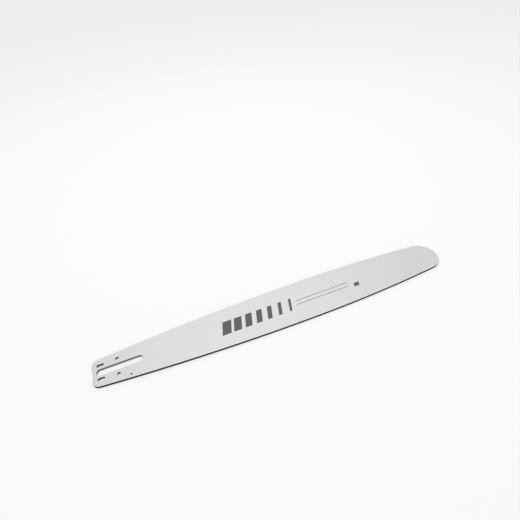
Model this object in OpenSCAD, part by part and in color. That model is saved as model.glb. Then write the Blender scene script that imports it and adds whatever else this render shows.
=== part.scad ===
// Hard-nose guide bar for a chainsaw: one flat steel blade with a chain groove
// milled all round its edge, a stud slot, two chain-tensioner holes and oil inlets.
// It lies flat. X runs from the tail to the nose, Y across the blade and Z up,
// with the origin under the middle of the blade.

/* [Blade] */
// Overall length from tail end to nose tip
bar_l = 700; // [640:5:760]
// Width at the widest place
bar_w = 90; // [84:1:100]
// Thickness of the solid blade
bar_t = 5; // [4.4:0.1:6]
// Distance from the tail end to the widest place
widest_x = 413; // [340:1:430]
// Width that the long tail-side edges would have at the tail end
tail_w = 50.5; // [46:0.5:60]
// Small bevel ground along the edges of both rails
rail_bevel = 0.35; // [0.1:0.05:0.8]

/* [Nose] */
// Radius of the round, hard-faced nose
nose_r = 34; // [30:0.5:38]

/* [Tail] */
// Radius of the two outer corners of the tail
tail_corner_r = 12; // [8:0.5:15]
// Depth of the shallow hollow in the tail end
tail_hollow_depth = 2; // [0.5:0.1:4]
// Width of that hollow across the tail end
tail_hollow_w = 27; // [16:1:30]

/* [Chain groove] */
// Width of the groove, which is the drive-link gauge
groove_w = 1.6; // [1.1:0.1:2]
// Depth of the groove from the edge
groove_depth = 8.5; // [6:0.5:10]
// Width of the flared mouth where the chain enters at the tail
mouth_w = 3; // [2:0.1:3.6]
// Length over which the mouth narrows down to the groove
mouth_l = 14; // [6:1:20]

/* [Stud slot] */
// Width of the slot for the bar studs
slot_w = 12.4; // [8:0.1:14]
// Distance from the tail end to the near end of the slot
slot_start = 7.2; // [5:0.1:12]
// Length of the slot from end to end
slot_l = 76.8; // [60:0.1:90]

/* [Tensioner holes] */
// Diameter of the two chain-tensioner holes
tensioner_d = 6; // [4:0.1:8]
// Distance from the tail end to the tensioner holes
tensioner_x = 42.5; // [36:0.1:60]
// Distance between the two tensioner holes, across the slot
tensioner_gap = 30.4; // [26:0.1:34]

/* [Oil holes] */
// Width of the two oblong oil inlets
inlet_w = 5; // [3:0.1:5.5]
// Length of the two oblong oil inlets
inlet_l = 12; // [7:0.1:14]
// Distance from the tail end to the middle of the inlets
inlet_x = 14.2; // [13:0.1:20]
// Distance between the middles of the two inlets, across the slot
inlet_gap = 26.4; // [24:0.1:30]
// Diameter of the drilled passage from each inlet to the groove
passage_d = 1.4; // [1:0.1:1.5]
// Diameter of the single small hole that feeds oil to one rail
feed_d = 3; // [2:0.1:4]
// Distance from the tail end to the feed hole
feed_x = 61.7; // [50:0.1:80]
// Distance from the blade's middle line to the feed hole
feed_y = 24; // [22:0.1:26]

/* [Hidden] */

// Facets of the long edge arcs, of the nose and corners, and of the holes
long_fn = 1440;
round_fn = 180;
hole_fn = 72;
// Overlap that lets a cut run clean through a face
over = 1;
// Amount by which a round end stands proud of the edges that it blends into
blend = 0.01;
half_w = bar_w / 2;
steel_colour = [0.80, 0.80, 0.79];

// Radius of the tail-side edges, from their sag between the widest place and the tail
tail_sag = half_w - tail_w / 2;
tail_arc_r = round((pow(widest_x, 2) + pow(tail_sag, 2)) / (2 * tail_sag));

// Centre of the nose, and the radius of the nose-side edges that run into it smoothly
nose_x = bar_l - nose_r;
nose_run = nose_x - widest_x;
nose_arc_r = round((pow(nose_run, 2) + pow(half_w, 2) - pow(nose_r, 2)) / (2 * (half_w - nose_r)));
// Angle from the X axis to the normal that a nose-side edge and the nose share
nose_side = acos(nose_run / (nose_arc_r - nose_r));

// Centre of an outer tail corner, which touches the tail end and a tail-side edge
corner_run = widest_x - tail_corner_r;
corner_reach = tail_arc_r - tail_corner_r;
corner_y = half_w - tail_arc_r + sqrt(pow(corner_reach, 2) - pow(corner_run, 2));
// Angle from the X axis to the normal that a tail-side edge and its corner share
corner_side = 90 + asin(corner_run / corner_reach);

// Radius of the arc that hollows the tail end
hollow_r = (pow(tail_hollow_w / 2, 2) + pow(tail_hollow_depth, 2)) / (2 * tail_hollow_depth);

// Section of a plate from x = 0 out to a bevelled edge at x = r
module edge_section(r, bevel) {
    polygon([
        [0, 0],
        [r - bevel, 0],
        [r, bevel],
        [r, bar_t - bevel],
        [r - bevel, bar_t],
        [0, bar_t]
    ]);
}

// Flat round plate with a bevel round both rims
module disc(r, bevel, fn) {
    rotate_extrude($fn = fn)
        edge_section(r, bevel);
}

// Lens between two mirrored long arcs of radius r, which are full width apart at widest_x
module lens(r, inset, bevel) {
    intersection() {
        translate([widest_x, half_w - r, 0])
            disc(r - inset, bevel, long_fn);
        translate([widest_x, r - half_w, 0])
            disc(r - inset, bevel, long_fn);
    }
}

// What has to go to round an end to radius r about [x, y], between two directions in degrees
module round_off(x, y, r, from, to, bevel) {
    reach = 2 * bar_w;
    middle = (from + to) / 2;
    translate([x, y, 0])
        difference() {
            translate([0, 0, -over])
                linear_extrude(bar_t + 2 * over)
                    polygon([
                        [0, 0],
                        reach * [cos(from), sin(from)],
                        reach * [cos(middle), sin(middle)],
                        reach * [cos(to), sin(to)]
                    ]);
            disc(r + blend, bevel, round_fn);
        }
}

// Nose side of the blade, from the widest place to the tip
module nose_side_half(inset, bevel) {
    difference() {
        intersection() {
            lens(nose_arc_r, inset, bevel);
            translate([widest_x, -bar_w, -over])
                cube([nose_run + bar_w, 2 * bar_w, bar_t + 2 * over]);
        }
        round_off(nose_x - blend, 0, nose_r - inset, -nose_side, nose_side, bevel);
    }
}

// Tail side of the blade, which ends square at x0
module tail_side_half(x0, inset, bevel) {
    intersection() {
        lens(tail_arc_r, inset, bevel);
        translate([widest_x, bar_w, 0])
            rotate([90, 0, 0])
                linear_extrude(2 * bar_w)
                    mirror([1, 0])
                        edge_section(widest_x - x0, bevel);
    }
}

// Whole blank before anything is cut into it
module blank() {
    nose_side_half(0, rail_bevel);
    difference() {
        tail_side_half(0, 0, rail_bevel);
        for (side = [-1, 1])
            round_off(tail_corner_r, side * corner_y, tail_corner_r,
                      side * corner_side, side * 180, rail_bevel);
        translate([tail_hollow_depth - hollow_r, 0, -over])
            cylinder(h = bar_t + 2 * over, r = hollow_r, $fn = 4 * round_fn);
    }
}

// Groove that holds the drive links: a thin layer, less the core that is left standing
module chain_groove() {
    difference() {
        translate([-over, -bar_w, (bar_t - groove_w) / 2])
            cube([bar_l + 2 * over, 2 * bar_w, groove_w]);
        nose_side_half(groove_depth, 0);
        tail_side_half(-2 * over, groove_depth, 0);
    }
}

// Flared mouth of the groove at the tail, on the side given by its sign
module groove_mouth(side) {
    core_half = tail_w / 2 - groove_depth;
    translate([0, side * bar_w / 2 + side * core_half, bar_t / 2])
        rotate([90, 0, 0])
            linear_extrude(bar_w, center = true)
                polygon([
                    [-over, -mouth_w / 2],
                    [0, -mouth_w / 2],
                    [mouth_l, -groove_w / 2 + blend],
                    [mouth_l, groove_w / 2 - blend],
                    [0, mouth_w / 2],
                    [-over, mouth_w / 2]
                ]);
}

// Round hole straight through the blade
module drilled(x, y, d) {
    translate([x, y, -over])
        cylinder(h = bar_t + 2 * over, d = d, $fn = hole_fn);
}

// Slot with round ends straight through the blade, along X, with its middle at [x, y]
module slotted(x, y, l, w) {
    run = l - w;
    for (side = [-1, 1])
        drilled(x + side * run / 2, y, w);
    translate([x - run / 2, y - w / 2, -over])
        cube([run, w, bar_t + 2 * over]);
}

// Oil inlet beside the slot, with its drilled passage out to the groove
module oil_inlet(side) {
    slotted(inlet_x, side * inlet_gap / 2, inlet_l, inlet_w);
    translate([inlet_x, side * inlet_gap / 2, bar_t / 2])
        rotate([-side * 90, 0, 0])
            cylinder(h = groove_depth, d = passage_d, $fn = hole_fn);
}

// The finished blade
module guide_bar() {
    color(steel_colour)
        translate([-bar_l / 2, 0, 0])
            difference() {
                blank();
                chain_groove();
                slotted(slot_start + slot_l / 2, 0, slot_l, slot_w);
                for (side = [-1, 1]) {
                    groove_mouth(side);
                    drilled(tensioner_x, side * tensioner_gap / 2, tensioner_d);
                    oil_inlet(side);
                }
                drilled(feed_x, -feed_y, feed_d);
            }
}

guide_bar();
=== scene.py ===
import math

import bmesh
import bpy
from mathutils import Matrix, Vector


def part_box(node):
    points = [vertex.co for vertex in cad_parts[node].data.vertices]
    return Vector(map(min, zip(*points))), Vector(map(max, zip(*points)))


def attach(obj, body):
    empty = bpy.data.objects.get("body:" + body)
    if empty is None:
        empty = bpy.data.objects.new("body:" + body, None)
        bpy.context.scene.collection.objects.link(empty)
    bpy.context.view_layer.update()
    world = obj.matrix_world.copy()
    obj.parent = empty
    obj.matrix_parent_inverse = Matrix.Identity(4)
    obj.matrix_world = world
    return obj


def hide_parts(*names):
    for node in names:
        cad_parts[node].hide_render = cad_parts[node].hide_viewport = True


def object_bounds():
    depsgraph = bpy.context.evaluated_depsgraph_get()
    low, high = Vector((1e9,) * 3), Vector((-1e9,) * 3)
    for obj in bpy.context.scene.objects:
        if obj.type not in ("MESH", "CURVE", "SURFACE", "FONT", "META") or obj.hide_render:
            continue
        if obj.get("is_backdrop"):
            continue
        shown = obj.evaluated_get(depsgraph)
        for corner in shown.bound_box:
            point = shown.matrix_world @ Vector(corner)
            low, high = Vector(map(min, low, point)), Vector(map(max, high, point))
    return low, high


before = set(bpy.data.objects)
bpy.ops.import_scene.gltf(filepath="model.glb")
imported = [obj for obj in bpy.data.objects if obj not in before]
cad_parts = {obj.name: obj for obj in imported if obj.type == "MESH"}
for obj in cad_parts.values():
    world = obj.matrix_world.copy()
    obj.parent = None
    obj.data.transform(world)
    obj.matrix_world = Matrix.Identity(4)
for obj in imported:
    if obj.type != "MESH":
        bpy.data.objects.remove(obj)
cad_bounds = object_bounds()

# Every size below is in millimetres, from the tail end (x), the middle line (y) and the lower face (z)
MM = 0.001
UPRIGHT = Vector((0, 0, 1))

# Blade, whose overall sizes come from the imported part
low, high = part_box("guide_bar")
LENGTH = round((high.x - low.x) / MM)
WIDTH = round((high.y - low.y) / MM)
THICK = round((high.z - low.z) / MM, 1)
HALF_WIDTH = WIDTH / 2
TAIL_END = low.x
WIDEST_X = 413
TAIL_WIDTH = 50.5
RAIL_BEVEL = 0.35

# Nose and tail
NOSE_R = 34
CORNER_R = 12
HOLLOW_DEPTH = 2
HOLLOW_WIDTH = 27

# Chain groove, its flared mouth and the tiny bevel of its lips
GROOVE_WIDTH = 1.6
GROOVE_DEPTH = 8.5
MOUTH_WIDTH = 3
MOUTH_LENGTH = 14
LIP = 0.12

# Slot and holes: place of the middle, length and width
SLOT = (45.6, 0, 76.8, 12.4)
TENSIONER = (42.5, 15.2, 6, 6)
INLET = (14.2, 13.2, 12, 5)
FEED = (61.7, -24, 3, 3)
PASSAGE_D = 1.4
HOLE_BEVEL = 0.15

# Long edges: radii from their sag, and the directions in which they meet the round ends
TAIL_SAG = HALF_WIDTH - TAIL_WIDTH / 2
TAIL_ARC_R = round((WIDEST_X**2 + TAIL_SAG**2) / (2 * TAIL_SAG))
NOSE_X = LENGTH - NOSE_R
NOSE_RUN = NOSE_X - WIDEST_X
NOSE_ARC_R = round((NOSE_RUN**2 + HALF_WIDTH**2 - NOSE_R**2) / (2 * (HALF_WIDTH - NOSE_R)))
NOSE_SIDE = math.degrees(math.acos(NOSE_RUN / (NOSE_ARC_R - NOSE_R)))
CORNER_RUN = WIDEST_X - CORNER_R
CORNER_REACH = TAIL_ARC_R - CORNER_R
CORNER_Y = HALF_WIDTH - TAIL_ARC_R + math.sqrt(CORNER_REACH**2 - CORNER_RUN**2)
CORNER_SIDE = 90 + math.degrees(math.asin(CORNER_RUN / CORNER_REACH))
HOLLOW_R = ((HOLLOW_WIDTH / 2) ** 2 + HOLLOW_DEPTH**2) / (2 * HOLLOW_DEPTH)
HOLLOW_SIDE = math.degrees(math.asin(HOLLOW_WIDTH / 2 / HOLLOW_R))
CORE_TAIL_R = TAIL_ARC_R - GROOVE_DEPTH
CORE_AT_TAIL = HALF_WIDTH - TAIL_ARC_R + math.sqrt(CORE_TAIL_R**2 - WIDEST_X**2)
GROOVE_START = 180 - math.degrees(math.asin((CORE_AT_TAIL - CORNER_Y) / CORNER_R))


def place(x, y, z):
    """The point of the part's own frame, in metres, of a place on the blade in millimetres."""
    return Vector((TAIL_END + x * MM, y * MM, z * MM))


# Camera and stage

CAMERA_AT = place(175.1, -385.8, 544.8)
CAMERA_HEADING = 70.85
CAMERA_PITCH = 44.45
CAMERA_ROLL = -4.19
PHOTO_SIDE = 520
FOCAL_PIXELS = 360


def aim_camera():
    """Puts the camera where the photograph was taken from."""
    heading = math.radians(CAMERA_HEADING)
    pitch = math.radians(CAMERA_PITCH)
    roll = math.radians(CAMERA_ROLL)
    level = math.cos(pitch)
    view = Vector((level * math.cos(heading), level * math.sin(heading), -math.sin(pitch)))
    side = view.cross(UPRIGHT).normalized()
    above = side.cross(view)
    right = math.cos(roll) * side + math.sin(roll) * above
    up = math.cos(roll) * above - math.sin(roll) * side
    data = bpy.data.cameras.new("camera")
    data.sensor_width = 36
    data.lens = data.sensor_width * FOCAL_PIXELS / PHOTO_SIDE
    data.clip_start = 0.01
    camera = bpy.data.objects.new("camera", data)
    bpy.context.scene.collection.objects.link(camera)
    turned = Matrix((right, up, -view)).transposed()
    camera.matrix_world = Matrix.Translation(CAMERA_AT) @ turned.to_4x4()
    bpy.context.scene.camera = camera


def softbox(name, at, toward, size, power):
    """A square area lamp that faces a point."""
    data = bpy.data.lights.new(name, "AREA")
    data.size = size
    data.energy = power
    lamp = bpy.data.objects.new(name, data)
    bpy.context.scene.collection.objects.link(lamp)
    lamp.location = at
    lamp.rotation_euler = (Vector(toward) - Vector(at)).to_track_quat("-Z", "Y").to_euler()


# Finishes


class Signal:
    """A value that changes over a surface, written as plain arithmetic."""

    def __init__(self, finish, socket):
        self.finish = finish
        self.socket = socket

    def _maths(self, operation, *values):
        return self.finish.node("ShaderNodeMath", {"operation": operation}, dict(enumerate(values)))

    def __add__(self, other):
        return self._maths("ADD", self, other)

    def __sub__(self, other):
        return self._maths("SUBTRACT", self, other)

    def __rsub__(self, other):
        return self._maths("SUBTRACT", other, self)

    def __mul__(self, other):
        return self._maths("MULTIPLY", self, other)

    def __truediv__(self, other):
        return self._maths("DIVIDE", self, other)

    __radd__ = __add__
    __rmul__ = __mul__

    def magnitude(self):
        return self._maths("ABSOLUTE", self)

    def root(self):
        return self._maths("SQRT", self)

    def above(self, level):
        return self._maths("GREATER_THAN", self, level)

    def ramp(self, start, end):
        """0 before start, 1 after end and smooth between, where start may be the higher one."""
        return self.finish.node(
            "ShaderNodeMapRange",
            {"interpolation_type": "SMOOTHSTEP"},
            {"Value": self, "From Min": start, "From Max": end},
        )


class Finish:
    """A procedural material on the blade's own coordinates."""

    def __init__(self, name):
        self.material = bpy.data.materials.new(name)
        self.material.use_nodes = True
        self.tree = self.material.node_tree
        self.tree.nodes.clear()
        self.coordinates = self.node("ShaderNodeTexCoord", output="Object")
        parts = self.node("ShaderNodeSeparateXYZ", {}, {0: self.coordinates}, output=None)
        self.x, self.y, self.z = (Signal(self, parts.outputs[axis]) for axis in "XYZ")

    def node(self, kind, settings=None, sockets=None, output=0):
        """Adds any node: settings first, then its sockets' values or links."""
        added = self.tree.nodes.new(kind)
        for name, value in (settings or {}).items():
            setattr(added, name, value)
        for name, value in (sockets or {}).items():
            if isinstance(value, Signal):
                self.tree.links.new(value.socket, added.inputs[name])
            else:
                added.inputs[name].default_value = value
        if output is None:
            return added
        return Signal(self, added.outputs[output])

    def noise(self, scale, detail=2.0, stretch=(1, 1, 1)):
        """Soft noise between about 0 and 1, with its pattern drawn out along an axis."""
        where = self.node("ShaderNodeMapping", {}, {"Vector": self.coordinates, "Scale": stretch})
        sockets = {"Vector": where, "Scale": scale, "Detail": detail}
        return self.node("ShaderNodeTexNoise", {}, sockets)

    def blend(self, share, first, second):
        """The first colour where share is 0 and the second where it is 1."""
        sockets = {0: share, 6: first, 7: second}
        return self.node("ShaderNodeMix", {"data_type": "RGBA"}, sockets, output=2)

    def bump(self, height, distance, strength=1.0):
        sockets = {"Height": height, "Distance": distance, "Strength": strength}
        return self.node("ShaderNodeBump", {}, sockets)

    def surface(self, **sockets):
        """Ends the material in one shader, with sockets named by words joined with underscores."""
        named = {name.replace("_", " "): value for name, value in sockets.items()}
        shader = self.node("ShaderNodeBsdfPrincipled", {}, named)
        self.node("ShaderNodeOutputMaterial", {}, {"Surface": shader}, output=None)
        return self.material


def grey(value, warmth=0.0):
    return (value + warmth, value, value - warmth, 1)


def edge_distance(finish):
    """Distance in from the blade's outline, in millimetres, at any place on a face."""
    x = (finish.x - TAIL_END) / MM
    y = finish.y.magnitude() / MM
    along = x - WIDEST_X

    def inside_long_arc(radius):
        across = y + (radius - HALF_WIDTH)
        return radius - (along * along + across * across).root()

    on_nose_side = x.above(WIDEST_X)
    tail_side = inside_long_arc(TAIL_ARC_R) * (1 - on_nose_side)
    side = tail_side + inside_long_arc(NOSE_ARC_R) * on_nose_side
    ahead = x - NOSE_X
    from_nose = NOSE_R - (ahead * ahead + y * y).root()
    beyond = ahead.above(0)
    return side * (1 - beyond) + from_nose * beyond, ahead


def satin_face():
    """Pale blasted steel under clear lacquer, with a paler ground rim round the nose."""
    finish = Finish("satin_face")
    grain = finish.noise(9000, 3)
    mottle = finish.noise(55, 4)
    drawn = finish.noise(260, 3, stretch=(0.05, 1, 1))
    scuffs = finish.noise(700, 2, stretch=(0.04, 1, 1)).ramp(0.68, 0.78)
    inward, ahead = edge_distance(finish)
    facing = inward.ramp(5.0, 4.2) * ahead.ramp(-22, -12)
    joint = inward.ramp(5.6, 5.0) * inward.ramp(4.2, 4.8) * ahead.ramp(-22, -12)
    rim = inward.ramp(1.4, 0.5)
    tone = mottle * 0.6 + drawn * 0.4
    base = finish.blend(tone, grey(0.565, 0.004), grey(0.635, 0.002))
    base = finish.blend(grain.ramp(0.35, 0.7) * 0.35, base, grey(0.68))
    base = finish.blend(scuffs * 0.25, base, grey(0.72))
    base = finish.blend(rim * 0.5, base, grey(0.7))
    base = finish.blend(facing * 0.45, base, grey(0.72))
    base = finish.blend(joint * 0.3, base, grey(0.42))
    roughness = 0.5 + tone * 0.1 - scuffs * 0.08 - facing * 0.12 - rim * 0.1
    height = grain * 0.6 + drawn * 0.25 - scuffs * 0.3
    return finish.surface(
        Base_Color=base,
        Metallic=0.35,
        Roughness=roughness,
        Coat_Weight=0.15,
        Coat_Roughness=0.35,
        Normal=finish.bump(height, 0.00002),
    )


def rail_steel_painted_shade():
    """Dark hardened steel of the rails, burnished along its edges, made darker still as painted shade of
    the side that faces away from the lamp.
    """
    finish = Finish("rail_steel_painted_shade")
    lines = finish.noise(900, 3, stretch=(0.02, 0.02, 1))
    patches = finish.noise(70, 3)
    worn = patches.ramp(0.5, 0.75) * 0.5 + lines.ramp(0.45, 0.8) * 0.5
    # Near-black base colour is partly painted shade of the rails' side away from the lamp; the lighter
    # patches and lines are burnished wear
    base = finish.blend(worn, grey(0.035, -0.002), grey(0.1, -0.002))
    return finish.surface(
        Base_Color=base,
        Metallic=0.75,
        Roughness=0.34 + patches * 0.2,
        Normal=finish.bump(lines, 0.00003),
    )


def groove_painted_shade():
    """Raw milled steel inside the chain groove, given a near-black colour as painted shade of the deep
    narrow groove.
    """
    finish = Finish("groove_painted_shade")
    marks = finish.noise(1500, 2, stretch=(1, 1, 0.1))
    # Near-black base colour: painted shade inside the groove, with milling marks varying it
    base = finish.blend(marks, grey(0.05), grey(0.12))
    return finish.surface(
        Base_Color=base,
        Metallic=0.6,
        Roughness=0.5 + marks * 0.15,
        Normal=finish.bump(marks, 0.00003),
    )


def cut_steel():
    """Walls of the slot and the drilled holes, with fine upright cutting lines."""
    finish = Finish("cut_steel")
    lines = finish.noise(1800, 2, stretch=(1, 1, 0.04))
    base = finish.blend(lines, grey(0.13), grey(0.26))
    return finish.surface(
        Base_Color=base,
        Metallic=0.55,
        Roughness=0.42 + lines * 0.15,
        Normal=finish.bump(lines, 0.00005),
    )


def green_enamel():
    """Dark green paint inside the oil inlets."""
    finish = Finish("green_enamel")
    pooled = finish.noise(600, 3)
    base = finish.blend(pooled, (0.035, 0.075, 0.03, 1), (0.085, 0.15, 0.07, 1))
    return finish.surface(
        Base_Color=base,
        Roughness=0.4 + pooled * 0.15,
        Normal=finish.bump(pooled, 0.00004),
    )


def printing_ink():
    """Dark grey screen print, a little broken by the grain under it."""
    finish = Finish("printing_ink")
    grain = finish.noise(5000, 3)
    base = finish.blend(grain.ramp(0.55, 0.8), grey(0.075, -0.004), grey(0.14, -0.004))
    return finish.surface(
        Base_Color=base,
        Roughness=0.5 + grain * 0.1,
        Normal=finish.bump(grain, 0.00001),
    )


FINISHES = {
    "face": satin_face(),
    "rail": rail_steel_painted_shade(),
    "groove": groove_painted_shade(),
    "cut": cut_steel(),
    "inlet": green_enamel(),
}
FINISH_ORDER = list(FINISHES)


def paint(faces, finish_name):
    for face in faces:
        face.material_index = FINISH_ORDER.index(finish_name)


# Blade


def arc(x, y, radius, start, end, steps, outward=1):
    """Points and outward normals along an arc, up to but without its end."""
    for step in range(steps):
        angle = math.radians(start + (end - start) * step / steps)
        out = Vector((math.cos(angle), math.sin(angle)))
        yield Vector((x, y)) + radius * out, outward * out


def core_side(x):
    """Half width of the core between the two grooves near the tail, at x."""
    return HALF_WIDTH - TAIL_ARC_R + math.sqrt(CORE_TAIL_R**2 - (x - WIDEST_X) ** 2)


def half_outline():
    """The upper edge from the middle of the tail to the nose tip.

    Each entry holds a point, its outward normal and the point of the core behind it."""
    entries = []
    solid_end = [
        *arc(HOLLOW_DEPTH - HOLLOW_R, 0, HOLLOW_R, 0, HOLLOW_SIDE, 12, outward=-1),
        (Vector((0, HOLLOW_WIDTH / 2)), Vector((-1, 0))),
        *arc(CORNER_R, CORNER_Y, CORNER_R, 180, GROOVE_START, 4),
    ]
    for point, normal in solid_end:
        entries.append((point, normal, point))
    for point, normal in arc(CORNER_R, CORNER_Y, CORNER_R, GROOVE_START, CORNER_SIDE, 24):
        entries.append((point, normal, Vector((point.x, core_side(point.x)))))
    grooved = [
        *arc(WIDEST_X, HALF_WIDTH - TAIL_ARC_R, TAIL_ARC_R, CORNER_SIDE, 90, 56),
        *arc(WIDEST_X, HALF_WIDTH - NOSE_ARC_R, NOSE_ARC_R, 90, NOSE_SIDE, 40),
        *arc(NOSE_X, 0, NOSE_R, NOSE_SIDE, 0, 48),
        (Vector((LENGTH, 0)), Vector((1, 0))),
    ]
    for point, normal in grooved:
        entries.append((point, normal, point - GROOVE_DEPTH * normal))
    return entries


def whole_outline():
    upper = half_outline()
    flip = Vector((1, -1))
    lower = [tuple(vector * flip for vector in entry) for entry in reversed(upper[1:-1])]
    return upper + lower


def mouth_half(x):
    """Half the groove's width at x, where it flares towards the tail."""
    flare = max(0, 1 - x / MOUTH_LENGTH) * (MOUTH_WIDTH - GROOVE_WIDTH) / 2
    return GROOVE_WIDTH / 2 + flare


def loft(mesh, rings, finish_of):
    """Joins closed rings of vertices with quads, each with the finish that its place asks for."""
    count = len(rings[0])
    for level, (lower, upper) in enumerate(zip(rings, rings[1:])):
        for i in range(count):
            j = (i + 1) % count
            face = mesh.faces.new((lower[i], lower[j], upper[j], upper[i]))
            paint([face], finish_of(level, i, j))


def new_object(name, mesh):
    data = bpy.data.meshes.new(name)
    mesh.to_mesh(data)
    mesh.free()
    for finish in FINISHES.values():
        data.materials.append(finish)
    piece = bpy.data.objects.new(name, data)
    bpy.context.scene.collection.objects.link(piece)
    return piece


def blank():
    """The blade with its rails, groove and bevels, before any hole is cut."""
    outline = whole_outline()
    grooved = [(point - core).length > 0.01 for point, _, core in outline]
    mesh = bmesh.new()

    def ring(inset, height, from_core=False):
        corners = []
        for (point, normal, core), has_groove in zip(outline, grooved):
            start = core if from_core else point
            depth = inset if has_groove or inset != LIP else 0
            at = start - depth * normal
            corners.append(mesh.verts.new(place(at.x, at.y, height(point.x, has_groove))))
        return corners

    def level(z):
        return lambda x, has_groove: z

    def groove_side(side, lip=0.0):
        return lambda x, has_groove: THICK / 2 + side * (mouth_half(x) + (lip if has_groove else 0))

    rings = [
        ring(RAIL_BEVEL, level(0)),
        ring(0, level(RAIL_BEVEL)),
        ring(0, groove_side(-1, LIP)),
        ring(LIP, groove_side(-1)),
        ring(0, groove_side(-1), from_core=True),
        ring(0, groove_side(1), from_core=True),
        ring(LIP, groove_side(1)),
        ring(0, groove_side(1, LIP)),
        ring(0, level(THICK - RAIL_BEVEL)),
        ring(RAIL_BEVEL, level(THICK)),
    ]
    groove_levels = (3, 4, 5)

    def finish_of(step, i, j):
        in_groove = step in groove_levels and (grooved[i] or grooved[j])
        return "groove" if in_groove else "rail"

    loft(mesh, rings, finish_of)
    paint([mesh.faces.new(rings[0]), mesh.faces.new(rings[-1])], "face")
    bmesh.ops.remove_doubles(mesh, verts=mesh.verts, dist=0.001 * MM)
    bmesh.ops.dissolve_degenerate(mesh, edges=mesh.edges, dist=0.001 * MM)
    bmesh.ops.recalc_face_normals(mesh, faces=mesh.faces)
    return new_object("blade", mesh)


def stadium(x, y, length, width, steps=24):
    """Points and outward normals of a slot with round ends, or of a circle."""
    reach = (length - width) / 2
    yield from arc(x + reach, y, width / 2, -90, 90, steps)
    yield Vector((x + reach, y + width / 2)), Vector((0, 1))
    yield from arc(x - reach, y, width / 2, 90, 270, steps)
    yield Vector((x - reach, y - width / 2)), Vector((0, -1))


def cutters():
    """Everything that is cut straight through the blade, with a fine bevel at both faces."""
    over = 1
    mesh = bmesh.new()
    x, y, length, width = TENSIONER
    round_holes = [(x, y, length, width, "cut"), (x, -y, length, width, "cut"), (*FEED, "cut")]
    x, y, length, width = INLET
    inlets = [(x, y, length, width, "inlet"), (x, -y, length, width, "inlet")]
    for x, y, length, width, finish in [(*SLOT, "cut"), *round_holes, *inlets]:
        edge = list(stadium(x, y, length, width))
        rings = []
        for z, grow in (
            (-over, HOLE_BEVEL + over),
            (HOLE_BEVEL, 0),
            (THICK - HOLE_BEVEL, 0),
            (THICK + over, HOLE_BEVEL + over),
        ):
            corners = [point + grow * normal for point, normal in edge]
            rings.append([mesh.verts.new(place(at.x, at.y, z)) for at in corners])
        loft(mesh, rings, lambda *_: finish)
        paint([mesh.faces.new(rings[0]), mesh.faces.new(rings[-1])], finish)
    bmesh.ops.remove_doubles(mesh, verts=mesh.verts, dist=0.001 * MM)
    bmesh.ops.recalc_face_normals(mesh, faces=mesh.faces)
    return new_object("cutters", mesh)


def passages():
    """The drilled ways from the oil inlets out into the groove."""
    mesh = bmesh.new()
    x, y = INLET[:2]
    for side in (-1, 1):
        rings = []
        for reach in (0, GROOVE_DEPTH):
            edge = list(arc(x, THICK / 2, PASSAGE_D / 2, 0, 360, 24))
            rings.append([mesh.verts.new(place(at.x, side * (y + reach), at.y)) for at, _ in edge])
        loft(mesh, rings, lambda *_: "cut")
        paint([mesh.faces.new(rings[0]), mesh.faces.new(rings[-1])], "cut")
    bmesh.ops.recalc_face_normals(mesh, faces=mesh.faces)
    return new_object("passages", mesh)


def plain_mesh(piece):
    """Turns what a piece's modifiers make into its own mesh."""
    graph = bpy.context.evaluated_depsgraph_get()
    made = bpy.data.meshes.new_from_object(piece.evaluated_get(graph), depsgraph=graph)
    piece.modifiers.clear()
    piece.data = made


def cut_blade():
    blade = blank()
    tools = [cutters(), passages()]
    for tool in tools:
        cut = blade.modifiers.new(tool.name, "BOOLEAN")
        cut.operation = "DIFFERENCE"
        cut.solver = "EXACT"
        cut.object = tool
    plain_mesh(blade)
    for tool in tools:
        bpy.data.objects.remove(tool)
    blade.data.shade_smooth()
    blade.data.set_sharp_from_angle(angle=math.radians(30))
    return blade


# Print on the upper face: plain stripes, fine lines and a block

INK_DEPTH = 0.05
INK_PROUD = 0.03


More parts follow.
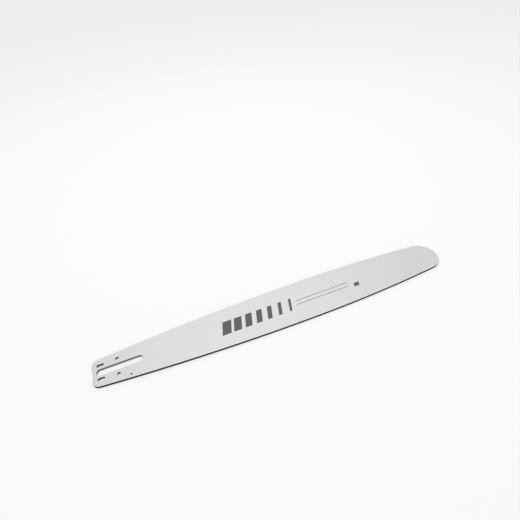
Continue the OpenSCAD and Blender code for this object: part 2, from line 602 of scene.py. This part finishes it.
def printed_bars(name, ink, first, step, count, lengths, heights, slant):
    """A row of plain slanted bars of ink, from the first one's middle, a step apart."""
    tree = bpy.data.node_groups.new(name, "GeometryNodeTree")
    face = tree.interface
    inputs = {
        "Count": ("NodeSocketInt", count),
        "First": ("NodeSocketVector", place(*first, THICK + INK_PROUD - INK_DEPTH / 2)),
        "Step": ("NodeSocketVector", Vector((*step, 0)) * MM),
        "First size": ("NodeSocketVector", Vector((lengths[0], heights[0], INK_DEPTH)) * MM),
        "Last size": ("NodeSocketVector", Vector((lengths[1], heights[1], INK_DEPTH)) * MM),
        "Slant": ("NodeSocketFloat", slant),
        "Middle line": ("NodeSocketFloat", first[1] * MM),
    }
    sockets = {}
    for label, (kind, _) in inputs.items():
        sockets[label] = face.new_socket(label, in_out="INPUT", socket_type=kind)
    face.new_socket("Geometry", in_out="OUTPUT", socket_type="NodeSocketGeometry")
    group_in = tree.nodes.new("NodeGroupInput")

    def node(kind, settings, links):
        added = tree.nodes.new(kind)
        for key, value in settings.items():
            setattr(added, key, value)
        for key, value in links.items():
            if isinstance(value, bpy.types.NodeSocket):
                tree.links.new(value, added.inputs[key])
            else:
                added.inputs[key].default_value = value
        return added

    given = group_in.outputs
    last = node("ShaderNodeMath", {"operation": "SUBTRACT"}, {0: given["Count"], 1: 1.0})
    steps = node("ShaderNodeMath", {"operation": "MAXIMUM"}, {0: last.outputs[0], 1: 1.0})
    number = node("GeometryNodeInputIndex", {}, {})
    share = node("ShaderNodeMath", {"operation": "DIVIDE"}, {0: number.outputs[0], 1: steps.outputs[0]})
    size = node(
        "ShaderNodeMix",
        {"data_type": "VECTOR"},
        {0: share.outputs[0], 4: given["First size"], 5: given["Last size"]},
    )
    row = node(
        "GeometryNodeMeshLine",
        {"mode": "OFFSET"},
        {"Count": given["Count"], "Start Location": given["First"], "Offset": given["Step"]},
    )
    bar = node("GeometryNodeMeshCube", {}, {"Size": (1, 1, 1)})
    bars = node(
        "GeometryNodeInstanceOnPoints",
        {},
        {"Points": row.outputs[0], "Instance": bar.outputs[0], "Scale": size.outputs[1]},
    )
    real = node("GeometryNodeRealizeInstances", {}, {0: bars.outputs[0]})
    where = node("GeometryNodeInputPosition", {}, {})
    parts = node("ShaderNodeSeparateXYZ", {}, {0: where.outputs[0]})
    rise = node(
        "ShaderNodeMath", {"operation": "SUBTRACT"}, {0: parts.outputs["Y"], 1: given["Middle line"]}
    )
    lean = node("ShaderNodeMath", {"operation": "MULTIPLY"}, {0: rise.outputs[0], 1: given["Slant"]})
    shift = node("ShaderNodeCombineXYZ", {}, {"X": lean.outputs[0]})
    slanted = node("GeometryNodeSetPosition", {}, {"Geometry": real.outputs[0], "Offset": shift.outputs[0]})
    inked = node("GeometryNodeSetMaterial", {}, {"Geometry": slanted.outputs[0], "Material": ink})
    node("NodeGroupOutput", {}, {"Geometry": inked.outputs[0]})

    piece = bpy.data.objects.new(name, bpy.data.meshes.new(name))
    bpy.context.scene.collection.objects.link(piece)
    modifier = piece.modifiers.new(name, "NODES")
    modifier.node_group = tree
    for label, (_, value) in inputs.items():
        modifier[sockets[label].identifier] = value
    plain_mesh(piece)
    return piece


# Stage

FLOOR_SIDE = 30
FLOOR_GREY = 0.85
FLOOR_WHITENESS = 0.6
WORLD_LIGHT = 0.75


def pale_floor():
    """A floor that looks white and keeps the blade's shadow."""
    bpy.ops.mesh.primitive_plane_add(size=FLOOR_SIDE)
    floor = bpy.context.object
    floor.name = "floor"
    floor_finish = bpy.data.materials.new("pale_floor")
    floor_finish.use_nodes = True
    tree = floor_finish.node_tree
    tree.nodes.clear()
    output = tree.nodes.new("ShaderNodeOutputMaterial")
    mix = tree.nodes.new("ShaderNodeMixShader")
    white = tree.nodes.new("ShaderNodeEmission")
    board = tree.nodes.new("ShaderNodeBsdfDiffuse")
    board.inputs["Color"].default_value = grey(FLOOR_GREY)
    white.inputs["Strength"].default_value = 1.0
    rays = tree.nodes.new("ShaderNodeLightPath")
    seen = tree.nodes.new("ShaderNodeMath")
    seen.operation = "MULTIPLY"
    seen.inputs[1].default_value = FLOOR_WHITENESS
    tree.links.new(rays.outputs["Is Camera Ray"], seen.inputs[0])
    tree.links.new(seen.outputs[0], mix.inputs[0])
    tree.links.new(board.outputs[0], mix.inputs[1])
    tree.links.new(white.outputs[0], mix.inputs[2])
    tree.links.new(mix.outputs[0], output.inputs["Surface"])
    floor.data.materials.append(floor_finish)
    floor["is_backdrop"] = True


def studio():
    world = bpy.data.worlds.new("studio")
    bpy.context.scene.world = world
    world.use_nodes = True
    tree = world.node_tree
    tree.nodes.clear()
    output = tree.nodes.new("ShaderNodeOutputWorld")
    light = tree.nodes.new("ShaderNodeBackground")
    light.inputs["Color"].default_value = (1, 1, 1, 1)
    light.inputs["Strength"].default_value = WORLD_LIGHT
    tree.links.new(light.outputs[0], output.inputs["Surface"])
    softbox("overhead", (0.1, 0.5, 1.5), (0, 0, 0), 1.6, 12)


aim_camera()
pale_floor()
studio()

blade = cut_blade()
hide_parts("guide_bar")
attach(blade, "root")

ink = printing_ink()
prints = [
    printed_bars("stripes", ink, (236, -2), (21, 0), 7, (17, 5), (28, 28), 0.3),
    printed_bars("fine_lines", ink, (432, 2), (0, -9), 2, (112, 112), (1.1, 1.1), 0.3),
    printed_bars("end_mark", ink, (503, -9), (1, 0), 1, (11, 11), (9, 9), 0.3),
]
for piece in prints:
    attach(piece, "root")

bpy.context.scene.view_settings.view_transform = "Standard"

bounds = {"cad": cad_bounds, "visual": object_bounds()}
{name: [list(corner) for corner in box] for name, box in bounds.items()}
